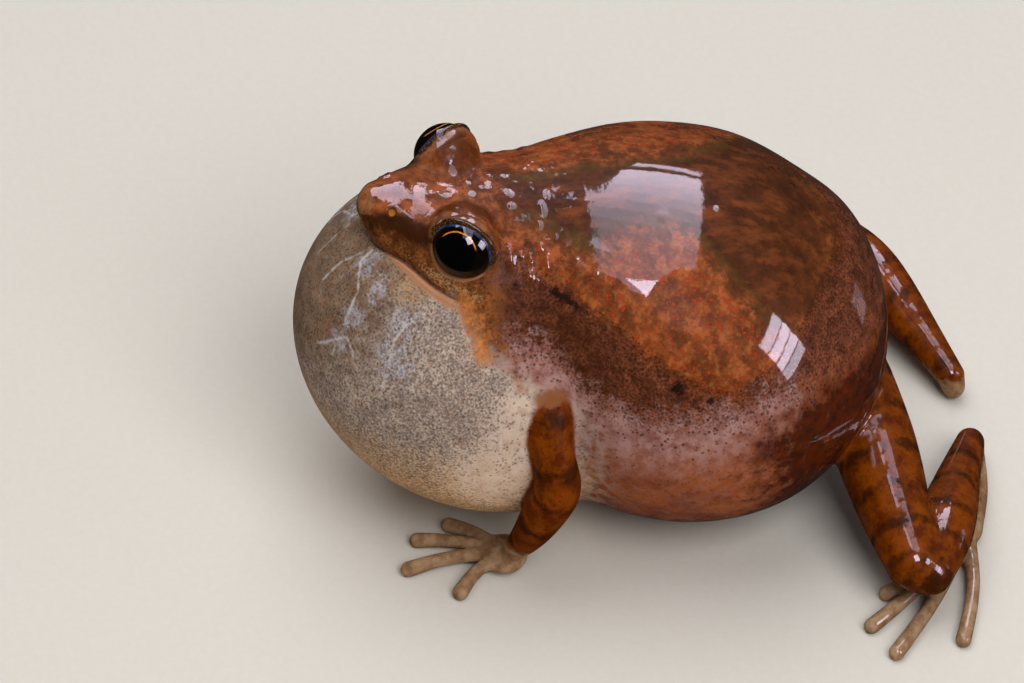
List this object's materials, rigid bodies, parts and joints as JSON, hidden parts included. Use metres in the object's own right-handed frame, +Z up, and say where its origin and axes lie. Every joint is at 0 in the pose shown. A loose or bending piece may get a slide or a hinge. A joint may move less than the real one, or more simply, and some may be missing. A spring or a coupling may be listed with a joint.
{
  "type": "mukhlesurs narrow-mouthed frog",
  "caption": "Life-size still model of a small narrow-mouthed frog calling, with its body and throat sac blown up, resting on its belly with the limbs drawn in.",
  "frame": {"origin": "on the floor, under the middle of the animal's footprint", "axes": "+Z up, the animal faces -Y, and its left side is +X"},
  "size_m": [0.0226, 0.0244, 0.0143],
  "materials": {
    "back_skin": "wet, glossy chestnut skin with a darker marking and small warts",
    "sac_skin": "thin, wet, stretched skin, grey-cream with fine dark stipple",
    "limb_skin": "wet brown skin with dark cross bands, paler on hands and feet",
    "eye": "polished dark eyeball with a thin golden rim"
  },
  "bodies": {
    "root": {"head": "back_skin", "vocal_sac": "sac_skin", "torso": "back_skin", "eye_left": "eye", "eye_right": "eye", "upper_arm_left": "limb_skin", "upper_arm_right": "limb_skin", "forearm_left": "limb_skin", "forearm_right": "limb_skin", "hand_left": "limb_skin", "hand_right": "limb_skin", "thigh_left": "limb_skin", "thigh_right": "limb_skin", "shank_left": "limb_skin", "shank_right": "limb_skin", "foot_left": "limb_skin", "foot_right": "limb_skin"}
  },
  "joints": []
}
